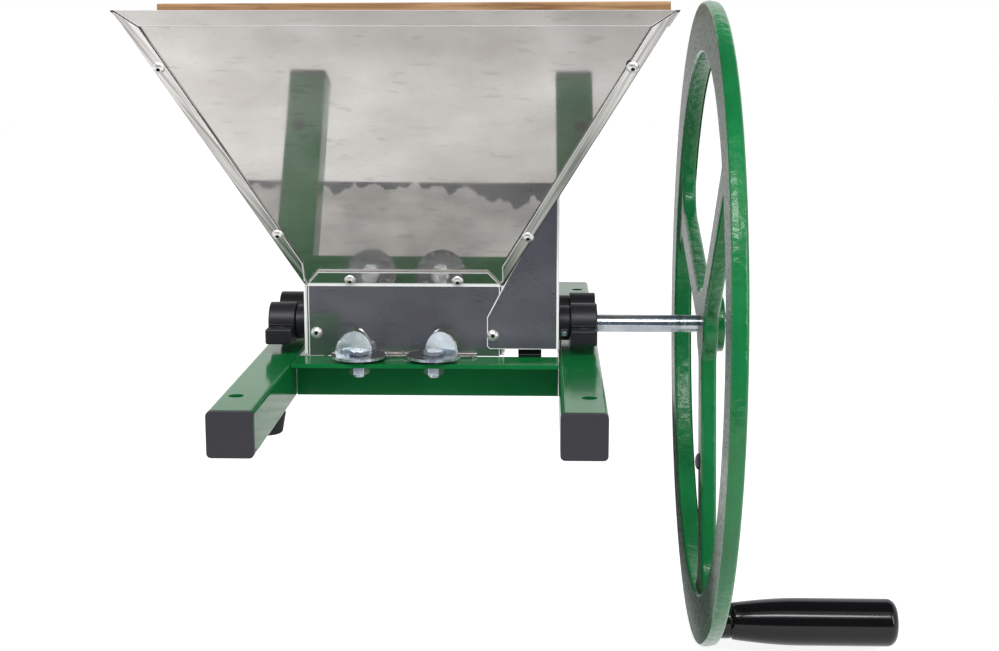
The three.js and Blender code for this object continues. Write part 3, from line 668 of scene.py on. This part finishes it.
def clouded_metal(name, colour, metallic, grain, span, darker, lighter):
    """Metal in two near tones whose roughness follows a grain over a span."""
    made, tree, surface = shader(name, colour, 0.2, metallic=metallic)
    rough = spread(tree, noise(tree, *grain), *span, 0.3, 0.7)
    tree.links.new(rough, surface.inputs["Roughness"])
    tone = ramp(tree, noise(tree, 60, 4), [(0.3, darker), (0.7, lighter)])
    tree.links.new(tone, surface.inputs["Base Color"])
    return made


def zinc_look(name, darker, lighter, metallic):
    return clouded_metal(name, lighter, metallic, (120, 4), (0.12, 0.3), darker, lighter)


def beech_look():
    made, tree, surface = shader("beech_look", linear(176, 138, 100), 0.5, specular=0.3)
    grain = noise(tree, 90, 8, stretch=(0.1, 1.6, 3.4), distortion=1.0)
    tone = ramp(tree, grain, [(0.34, linear(140, 102, 66)), (0.5, linear(170, 130, 92)),
                              (0.64, linear(190, 152, 112))])
    fleck = noise(tree, 420, 2, stretch=(0.1, 1, 1))
    flecks = ramp(tree, fleck, [(0.6, (1, 1, 1)), (0.72, (0.72, 0.66, 0.6))])
    tree.links.new(multiplied(tree, tone, flecks, 0.7), surface.inputs["Base Color"])
    bump(tree, surface, fleck, 0.2, 0.0003)
    return made


PAINT = enamel("green_enamel", linear(14, 108, 54), 0.13, 0.17, 14,
               linear(12, 102, 50), linear(18, 114, 58), (160, 2), (0.12, 0.0006))
CAST = enamel("green_cast_enamel", linear(20, 130, 70), 0.2, 0.4, 18,
              linear(10, 100, 48), linear(22, 122, 66), (120, 5), (0.7, 0.0014))
CAST_FACE = raw_cast()
STEEL = steel_sheet()
# Painted highlight: the cut edges are painted near white, partly the bare edge's own paler metal
# and partly the light it catches.
CUT_EDGE_HIGHLIGHT = worn("stainless_cut_edge_highlight_look", linear(250, 250, 250), 0.4, (300, 3), (0.4, 0.6),
                 metallic=0.15)
SHADE = worn("stainless_edge_shade_look", linear(62, 60, 60), 0.45, (300, 3), (0.35, 0.6),
             metallic=0.5)
LAPS = {"left": lap_look("stainless_lap_left_look", 31.4),
        "right": lap_look("stainless_lap_right_look", -29.4)}
SCREW = worn("stainless_screw_look", linear(228, 226, 223), 0.3, (900, 2), (0.24, 0.36),
             metallic=0.7)
# Painted shade: the hexagon socket's faces are painted dark, standing in for the shade inside the
# hole.
SOCKET_SHADE = worn("screw_socket_shade_look", linear(58, 52, 48), 0.6, (500, 2), (0.5, 0.7), metallic=0.4)
ZINC = zinc_look("zinc_plate_look", linear(206, 218, 228), linear(228, 233, 238), 0.85)
# Painted shade: a darker copy of the zinc for the clamps' upward faces, so that their mirror
# images in the sheet read dark.
ZINC_TOP_SHADE = zinc_look("zinc_plate_top_shade_look", linear(104, 112, 118), linear(142, 148, 152), 1.0)
TURNED = clouded_metal("turned_steel_look", linear(190, 196, 204), 1, (300, 4, (1, 0.2, 0.2)),
                       (0.14, 0.3), linear(178, 186, 196), linear(204, 208, 212))
NYLON = worn("black_nylon_look", linear(30, 31, 36), 0.42, (60, 3), (0.36, 0.5),
             (1400, 2), (0.15, 0.0002), specular=0.4)
CAP = worn("cap_plastic_look", linear(47, 46, 52), 0.55, (90, 4), (0.45, 0.65),
           (1100, 3), (0.5, 0.0004), specular=0.4)
RUBBER = worn("rubber_look", linear(38, 38, 40), 0.75, (70, 3), (0.68, 0.85),
              (900, 3), (0.3, 0.0003), specular=0.3)
GRIP = worn("grip_phenolic_look", linear(12, 11, 11), 0.12, (40, 4), (0.08, 0.18), specular=0.35)
ALUMINIUM = worn("cast_aluminium_look", linear(170, 172, 175), 0.42, (120, 4), (0.34, 0.52),
                 (700, 4), (0.35, 0.0003), metallic=1)
BEECH = beech_look()


# Frame
for side, _ in SIDES:
    dress(f"rail_{side}", PAINT, 0.3 * MM)
    for end, _ in ENDS:
        dress(f"end_cap_{end}_{side}", CAP, 0.7 * MM, segments=3)
        dress(f"rubber_foot_{end}_{side}", RUBBER, 0.5 * MM)
for end, _ in ENDS:
    dress(f"cross_member_{end}", PAINT, 0.8 * MM, segments=3)

# Hopper and milling box
for end, _ in ENDS:
    dress_sheet(f"hopper_panel_{end}", FOLDED_ANGLE, edge=HOPPER_EDGE, rim=CUT_RIM,
                others=((SHADE, shaded),))
for side, _ in SIDES:
    dress_sheet(f"hopper_panel_{side}", FOLDED_ANGLE, edge=HOPPER_EDGE, rim=CUT_RIM,
                others=((SHADE, shaded), (SHADE, outer_rim), (LAPS[side], lap)))
for end, _ in ENDS:
    panel = dress_sheet(f"mill_panel_{end}", FOLDED_ANGLE, PANEL_FOLDS, rim=CUT_RIM)
    for vertex in panel.data.vertices:
        if vertex.co.z < RAIL_TOP + MM:
            vertex.co.z -= PANEL_DROP
for side, _ in SIDES:
    dress_sheet(f"mill_wall_{side}")
dress_sheet("guide_plate")
dress_sheet("gear_cover", folds=COVER_FOLDS, edge=COVER_EDGE, rim=CUT_RIM)

# Board
board = dress("wooden_board", BEECH, 1.0 * MM, segments=3)
board_low, board_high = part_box("wooden_board")
for vertex in board.data.vertices:
    if vertex.co.z > (board_low.z + board_high.z) / 2:
        vertex.co.z += BOARD_RISE * (vertex.co.x - board_low.x) / (board_high.x - board_low.x)


# Bearings and lever caps
def lever_cap(node, centre, way, bored):
    """A round cap with a lever towards way, -1 for the front and 1 for the rear."""
    bead_reach, bead_height, bead_inset, bead_edge = 0.7 * MM, 1.3 * MM, 0.6 * MM, 0.5 * MM
    rib_near, rib_far, rib_half, rib_edge = 4 * MM, 8 * MM, 3.4 * MM, 0.4 * MM
    rib_depth, rib_height = 1 * MM, 0.7 * MM
    ring_inner, ring_outer, ring_sunk, ring_proud = 6.9 * MM, 9.5 * MM, 0.2 * MM, 0.4 * MM
    low, high = x_span(node)
    outward = -1 if high < 0 else 1
    near, far = (high, low) if outward < 0 else (low, high)
    y, z = centre
    wall = [(near, 0), (near, CAP_RADIUS), (far, CAP_RADIUS), (far, 0)]
    parts = [lathe("cap_body", rounded(wall, [CAP_EDGE, CAP_EDGE]), centre, CAP_STEPS)]
    top = z - LEVER_DROP
    lever = rectangle(y, y + way * LEVER_REACH, top - LEVER_HEIGHT, top)
    inset = LEVER_INSET * outward
    parts.append(prism("cap_lever", lever, near + inset, far - inset, LEVER_EDGE, segments=4))
    front = y + way * CAP_RADIUS
    bead = rectangle(y, front + way * bead_reach, top, top + bead_height)
    inset = bead_inset * outward
    parts.append(prism("cap_bead", bead, near + inset, far - inset, bead_edge))
    middle = (near + far) / 2
    rib = rectangle(front + way * rib_near, front + way * rib_far, top - rib_depth,
                    top + rib_height)
    parts.append(prism("cap_rib", rib, middle - rib_half, middle + rib_half, rib_edge))
    if bored:
        ring = rectangle(far - ring_sunk, far + ring_proud, ring_inner, ring_outer)
        parts.append(lathe("cap_ring", [*ring, ring[0]], centre, CAP_RING_STEPS))
    mesh = joined(node + "_fine", parts)
    body = frame["nodes"][node]["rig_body"]
    add_piece(node + "_fine", mesh, body, NYLON, (node,), smooth=40)


for end, way in ENDS:
    for place in ("left", "inner", "right"):
        dress(f"bearing_bush_{end}_{place}", NYLON, 0.5 * MM, segments=3)
    for side, _ in SIDES:
        crank_side = end == "front" and side == "right"
        lever_cap(f"lever_cap_{end}_{side}", (SHAFT_Y[end], SHAFT_Z), way, crank_side)
    dress(f"roller_{end}", ALUMINIUM, 0.4 * MM)
    dress(f"gear_{end}", NYLON, 0.2 * MM)


def bush_nut(end, way):
    """A small steel nut standing against a cover bush, towards way."""
    _, bush_end = x_span("bearing_bush_front_right")
    middle = bush_end - BUSH_NUT_INSET
    y = SHAFT_Y[end] + way * BUSH_NUT_REACH
    points = [(middle + a, y + b) for a, b in hex_points(BUSH_NUT_ACROSS)]
    bottom, top = (SHAFT_Z - drop for drop in BUSH_NUT_DROPS)
    name = f"bush_nut_{end}"
    mesh = prism(name, points, bottom, top, BUSH_NUT_EDGE, plane="xy")
    add_piece(name, mesh, "frame", ZINC, (), smooth=30)


def shaft(node, y):
    low, high = x_span(node)
    outline = [(low, 0), (low, SHAFT_RADIUS), (high, SHAFT_RADIUS), (high, 0)]
    outline = rounded(outline, [SHAFT_EDGE, SHAFT_EDGE])
    mesh = lathe(node + "_fine", outline, (y, SHAFT_Z), SHAFT_STEPS)
    body = frame["nodes"][node]["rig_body"]
    add_piece(node + "_fine", mesh, body, TURNED, (node,), smooth=30)


for end, way in ENDS:
    bush_nut(end, way)
shaft("crank_shaft", SHAFT_Y["front"])
shaft("rear_shaft", SHAFT_Y["rear"])


# Clamps
# Faces looking up, which take the zinc with painted shade.
def clamp_top(_, polygon):
    return polygon.normal.z > CLAMP_TOP


for end, _ in ENDS:
    for side, _ in SIDES:
        place = f"{end}_{side}"
        dress(f"wing_clamp_{place}", ZINC, 0.4 * MM, others=((ZINC_TOP_SHADE, clamp_top),))
        dress(f"clamp_bolt_{place}", ZINC, 0.5 * MM)
        dress(f"clamp_nut_{place}", ZINC, 0.5 * MM)


# Flywheel
def wheel_opening(turn):
    """The outline of one opening between two spokes, about the hub."""
    inner = WHEEL_RADIUS - WHEEL_RIM
    rim_arm = inner - RIM_FILLET
    hub_arm = HUB_RADIUS + HUB_FILLET
    rim_swing = math.asin((SPOKE_HALF + RIM_FILLET) / rim_arm)
    hub_swing = math.asin((SPOKE_HALF + HUB_FILLET) / hub_arm)
    after = turn + 2 * math.pi / 3
    quarter = math.pi / 2
    rim_first, rim_last = turn + rim_swing, after - rim_swing
    hub_first, hub_last = turn + hub_swing, after - hub_swing
    path = arc(polar(rim_arm, rim_first), RIM_FILLET, turn - quarter, rim_first, 12)
    path += arc((0, 0), inner, rim_first, rim_last, 40)[1:]
    path += arc(polar(rim_arm, rim_last), RIM_FILLET, rim_last, after + quarter, 12)[1:]
    path += arc(polar(hub_arm, hub_last), HUB_FILLET, after + quarter, hub_last + math.pi, 8)
    path += arc((0, 0), HUB_RADIUS, hub_last, hub_first, 10)[1:]
    path += arc(polar(hub_arm, hub_first), HUB_FILLET, hub_first + math.pi,
                turn + 3 * quarter, 8)[1:]
    return path


def plate_with_openings(name, outer, openings, start, end, edge):
    """A flat plate across X with openings, its rims rounded, drawn as a filled curve."""
    curve = bpy.data.curves.new(name, "CURVE")
    curve.dimensions = "2D"
    curve.fill_mode = "BOTH"
    curve.extrude = (end - start) / 2 - edge
    curve.bevel_depth = edge
    curve.bevel_resolution = 3
    curve.offset = -edge
    for path in (outer, *openings):
        spline = curve.splines.new("POLY")
        spline.points.add(len(path) - 1)
        for point, (a, b) in zip(spline.points, path):
            point.co = (a, b, 0, 1)
        spline.use_cyclic_u = True
    drawn = bpy.data.objects.new(name, curve)
    mesh = bpy.data.meshes.new_from_object(drawn)
    bpy.data.objects.remove(drawn)
    bpy.data.curves.remove(curve)
    across_x = Matrix(((0, 0, 1, (start + end) / 2), (1, 0, 0, 0), (0, 1, 0, 0), (0, 0, 0, 1)))
    mesh.transform(across_x)
    return mesh


def wheel_inside(_, polygon):
    """Whether a face of the flywheel looks at the mill."""
    return polygon.normal.x < -CAST_SIDE


def flywheel():
    rim_start, boss_end = x_span("flywheel")
    rim_end = rim_start + WHEEL_THICKNESS
    spider_end = boss_end - BOSS_PROUD
    inner = WHEEL_RADIUS - WHEEL_RIM
    shoulder = WHEEL_RADIUS - WHEEL_CROWN
    middle = (rim_start, (inner + WHEEL_RADIUS) / 2)
    crown = (rim_start + CROWN_SHARE * (rim_end - rim_start), WHEEL_RADIUS)
    loop = [middle, (rim_start, shoulder), crown, (rim_end, shoulder), (rim_end, inner),
            (rim_start, inner), middle]
    loop = rounded(loop, [WHEEL_FACE_EDGE, CROWN_EDGE, WHEEL_EDGE, WHEEL_EDGE, WHEEL_EDGE], 5)
    rim = lathe("rim", loop, (0, 0), WHEEL_STEPS)
    openings = [wheel_opening(math.radians(turn)) for turn in SPOKE_TURNS]
    outer = arc((0, 0), inner + SPIDER_LAP, 0, 2 * math.pi, SPIDER_STEPS)[:-1]
    spider = plate_with_openings("spider", outer, openings, rim_start + SPIDER_INSET, spider_end,
                                 WHEEL_EDGE)
    boss_start = spider_end - BOSS_SUNK
    outline = [(boss_start, 0), (boss_start, BOSS_RADIUS), (boss_end, BOSS_RADIUS), (boss_end, 0)]
    boss = lathe("boss", rounded(outline, [0, BOSS_EDGE]), (0, 0), BOSS_STEPS)
    mesh = joined("flywheel_fine", [rim, spider, boss])
    mesh.transform(Matrix.Translation((0, 0, SHAFT_Z)))
    add_piece("flywheel_fine", mesh, "crank", CAST, ("flywheel",), smooth=40,
              others=((CAST_FACE, wheel_inside),))


flywheel()
dress("hub_bolt", ZINC, 0.4 * MM)
dress("spoke_plug", NYLON, 0.2 * MM, angle=50, smooth=60)


# Handle
def handle():
    low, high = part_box("handle_grip")
    start, end = low.x, high.x
    bore_end = start + GRIP_BORE_DEPTH
    profile = [(bore_end, 0), (bore_end, GRIP_BORE), (start, GRIP_BORE),
               (start, GRIP_NECK - GRIP_NECK_EDGE), (start + GRIP_NECK_EDGE, GRIP_NECK)]
    for step in range(1, GRIP_CURVE_STEPS + 1):
        share = step / GRIP_CURVE_STEPS
        swollen = math.sin(share * math.pi / 2)
        profile.append((start + share * GRIP_SWELL_SHARE * (end - start),
                        GRIP_NECK + (GRIP_SWELL - GRIP_NECK) * swollen))
    for step in range(GRIP_CURVE_STEPS + 1):
        turn = step / GRIP_CURVE_STEPS * math.pi / 2
        profile.append((end - GRIP_CROWN + GRIP_CROWN * math.sin(turn),
                        GRIP_SWELL - GRIP_CROWN + GRIP_CROWN * math.cos(turn)))
    profile.append((end, 0))
    centre = (low.y + high.y) / 2, (low.z + high.z) / 2
    grip = lathe("handle_grip_fine", profile, centre, GRIP_STEPS)
    add_piece("handle_grip_fine", grip, "grip", GRIP, ("handle_grip",), smooth=40)
    dress("handle_spindle", ZINC, 0.4 * MM)
    dress("handle_collar", GRIP, 1.2 * MM, segments=3)


handle()


# Small screws
def hexagon(bm, apothem, level, steps):
    """New vertices around a level hexagon about the origin, evenly turned."""
    made = []
    for step in range(steps):
        turn = 2 * math.pi * step / steps
        off_side = turn % (math.pi / 3) - math.pi / 6
        made.append(bm.verts.new((*polar(apothem / math.cos(off_side), turn), level)))
    return made


def button_screw(name, place, outward):
    """A button-head screw with a hexagon socket; outward is the surface's normal."""
    bm = bmesh.new()
    rings = []
    flat = math.cos(SCREW_ARC)
    for step in range(1, 7):
        turn = step / 6 * SCREW_ARC
        radius = SCREW_RADIUS * math.sin(turn) / math.sin(SCREW_ARC)
        level = SCREW_HEIGHT * (math.cos(turn) - flat) / (1 - flat)
        if radius > SCREW_FLAT:
            rings.append(circle(bm, radius, level, SCREW_STEPS))
    foot = circle(bm, SCREW_RADIUS, -SCREW_FOOT, SCREW_STEPS)
    top = SCREW_HEIGHT * SOCKET_LEVEL
    lip = hexagon(bm, SOCKET_RADIUS, top, SCREW_STEPS)
    bottom = hexagon(bm, SOCKET_RADIUS, top - SOCKET_DEPTH, SCREW_STEPS)
    chain = [bottom, lip, *rings, foot]
    for first, second in zip(chain, chain[1:]):
        for here in range(SCREW_STEPS):
            after = (here + 1) % SCREW_STEPS
            bm.faces.new((first[here], first[after], second[after], second[here]))
    bm.faces.new(bottom)
    bm.faces.new(foot)
    bmesh.ops.recalc_face_normals(bm, faces=bm.faces)
    mesh = mesh_from(bm, name)
    hollow = {polygon.index for polygon in mesh.polygons
              if polygon.center.xy.length < SOCKET_REACH and polygon.center.z > 0}
    turned = Vector(outward).to_track_quat("Z", "Y").to_matrix().to_4x4()
    mesh.transform(Matrix.Translation(place) @ turned)
    # The socket's faces take the painted shade.
    socket = (SOCKET_SHADE, lambda _, polygon: polygon.index in hollow)
    add_piece(name, mesh, "frame", SCREW, (), others=(socket,))


def on_hopper_end(end, x, z):
    """A point on the hopper's front or rear outer plane, and its normal."""
    foot = BOX_FRONT_Y if end < 0 else BOX_REAR_Y
    lean = FRONT_SLOPE * (z - BEND_Z)
    normal = Vector((0, end, -FRONT_SLOPE)).normalized()
    return (x, foot + end * lean, z), normal


for end_name, end in ENDS:
    for name, (x, z) in HOPPER_SCREWS.items():
        button_screw(f"hopper_screw_{end_name}_{name}", *on_hopper_end(end, x * MM, z * MM))
    for name, (x, z) in TAB_SCREWS.items():
        button_screw(f"tab_screw_{end_name}_{name}", *on_hopper_end(end, x * MM, z * MM))
    for name, (x, z, proud) in WALL_SCREWS.items():
        y = (BOX_FRONT_Y if end < 0 else BOX_REAR_Y) + end * proud * MM
        button_screw(f"wall_screw_{end_name}_{name}", (x * MM, y, z * MM), (0, end, 0))


# Studio
def camera():
    data = bpy.data.cameras.new("camera")
    data.sensor_width = SENSOR_WIDTH
    data.lens = FOCAL_LENGTH
    data.clip_start = 0.01
    data.clip_end = 100
    made = bpy.data.objects.new("camera", data)
    made.location = CAMERA_PLACE
    made.rotation_euler = (math.radians(90 - CAMERA_DOWN), 0, math.radians(CAMERA_TURN))
    scene.collection.objects.link(made)
    scene.camera = made


def seen_directly(tree):
    """One for camera, glossy and transmission rays, and zero for the others."""
    path = tree.nodes.new("ShaderNodeLightPath").outputs
    either = arithmetic(tree, "MAXIMUM", path["Is Camera Ray"], path["Is Glossy Ray"])
    return arithmetic(tree, "MAXIMUM", either, path["Is Transmission Ray"])


def world():
    made = bpy.data.worlds.new("studio")
    scene.world = made
    made.use_nodes = True
    tree = made.node_tree
    background = tree.nodes["Background"]
    background.inputs["Color"].default_value = (1, 1, 1, 1)
    strength = spread(tree, seen_directly(tree), AMBIENT, 1.0)
    tree.links.new(strength, background.inputs["Strength"])


def floor():
    bm = bmesh.new()
    bmesh.ops.create_grid(bm, x_segments=1, y_segments=1, size=FLOOR_HALF)
    mesh = mesh_from(bm, "floor")
    made = bpy.data.objects.new("floor", mesh)
    made.location = (0, 0, cad_low.z - FLOOR_DROP)
    scene.collection.objects.link(made)
    material = bpy.data.materials.new("floor_white")
    material.use_nodes = True
    tree = material.node_tree
    surface = tree.nodes["Principled BSDF"]
    surface.inputs["Base Color"].default_value = (FLOOR_GREY, FLOOR_GREY, FLOOR_GREY, 1)
    surface.inputs["Roughness"].default_value = 0.9
    surface.inputs["Emission Color"].default_value = (1, 1, 1, 1)
    glow = spread(tree, seen_directly(tree), 0.0, FLOOR_GLOW)
    tree.links.new(glow, surface.inputs["Emission Strength"])
    mesh.materials.append(material)


def area_light(name, place, size, power):
    data = bpy.data.lights.new(name, "AREA")
    data.shape = "RECTANGLE"
    data.size, data.size_y = size
    data.energy = power
    made = bpy.data.objects.new(name, data)
    made.location = place
    made.rotation_mode = "QUATERNION"
    aim = Vector(LIGHT_AIM) - Vector(place)
    made.rotation_quaternion = aim.to_track_quat("-Z", "Y")
    scene.collection.objects.link(made)


def level_corners(left, right, first, last, level):
    return [(a, b, level) for a, b in rectangle(left, right, first, last)]


def card(name, corners, colour):
    """A board out of the camera's sight that glows a fixed colour for the object's polished faces
    to mirror: a painted reflection.
    """
    mesh = bpy.data.meshes.new(name)
    mesh.from_pydata(corners, [], [(0, 1, 2, 3)])
    made = bpy.data.objects.new(name, mesh)
    scene.collection.objects.link(made)
    made.visible_camera = False
    made.visible_shadow = False
    made.visible_diffuse = False
    material = bpy.data.materials.new(name)
    material.use_nodes = True
    tree = material.node_tree
    surface = tree.nodes["Principled BSDF"]
    surface.inputs["Base Color"].default_value = (0, 0, 0, 1)
    surface.inputs["Specular IOR Level"].default_value = 0
    surface.inputs["Emission Color"].default_value = (*colour, 1)
    surface.inputs["Emission Strength"].default_value = 1
    mesh.materials.append(material)
    return tree


def bench_glow(tree):
    """A mottled pale glow for the bench top, a painted reflection of a lit bench, with a dark
    strip of painted shade along its front edge, torn on its inner side.
    """
    mottle = blend(tree, noise(tree, 30, 6, distortion=0.6),
                   noise(tree, 60, 5, stretch=(0.3, 1, 1)), 0.5)
    rubbed = ramp(tree, mottle, [(0.38, (0.62, 0.62, 0.63)), (0.5, (0.82, 0.82, 0.82)),
                                 (0.64, (1.0, 1.0, 0.98))])
    place = axes(tree)
    behind = arithmetic(tree, "SUBTRACT", place["Y"], BENCH_EDGE)
    wide = spread(tree, place["X"], 0.004, 0.014, 0.015, 0.045)
    torn = spread(tree, noise(tree, 60, 6, stretch=(1, 0.5, 1)), -0.01, 0.01, 0.25, 0.75)
    inside = arithmetic(tree, "SUBTRACT", arithmetic(tree, "SUBTRACT", behind, wide), torn)
    mix = tree.nodes.new("ShaderNodeMix")
    mix.data_type = "RGBA"
    # Painted shade: the dark strip where the bench's front falls into shadow.
    mix.inputs["A"].default_value = (0.16, 0.175, 0.21, 1)
    tree.links.new(spread(tree, inside, 0.0, 1.0, 0.0, 0.0008), mix.inputs["Factor"])
    tree.links.new(rubbed, mix.inputs["B"])
    surface = tree.nodes["Principled BSDF"]
    tree.links.new(mix.outputs["Result"], surface.inputs["Emission Color"])


def studio_cards():
    # Dark glowing cards in front, behind the camera and overhead stand in for the unlit room as
    # painted shade in reflections.
    ground = cad_low.z - GROUND_DROP
    half, near, far, wall_top = 3, -0.78, -2.6, 1.85
    card("dark_ground", level_corners(-half, half, near, far, ground), DARK)
    wall = [(a, far, b) for a, b in rectangle(-half, half, ground, wall_top)]
    card("dark_wall", wall, DARK)
    left, right, rear, underside = -0.6, 0.185, 0.4, -0.05
    top = card("bench_top", level_corners(left, right, BENCH_EDGE, rear, -MM), (0.8, 0.8, 0.8))
    bench_glow(top)
    # Painted shade: the bench's dark side, seen only in reflections.
    bench_side = [(right, a, b) for a, b in rectangle(BENCH_EDGE, rear, underside, ground)]
    card("bench_side", bench_side, (0.05, 0.055, 0.055))
    ceiling, ceiling_near, ceiling_far = 2.4, -0.9, 2.4
    card("dark_ceiling", level_corners(-half, half, ceiling_near, ceiling_far, ceiling), DARK)


camera()
world()
floor()
studio_cards()
area_light("key", (-0.15, -1.35, 1.45), (1.9, 0.22), 24)
area_light("fill", (1.6, -1.2, 0.7), (0.25, 1.2), 9)
scene.view_settings.view_transform = "Standard"
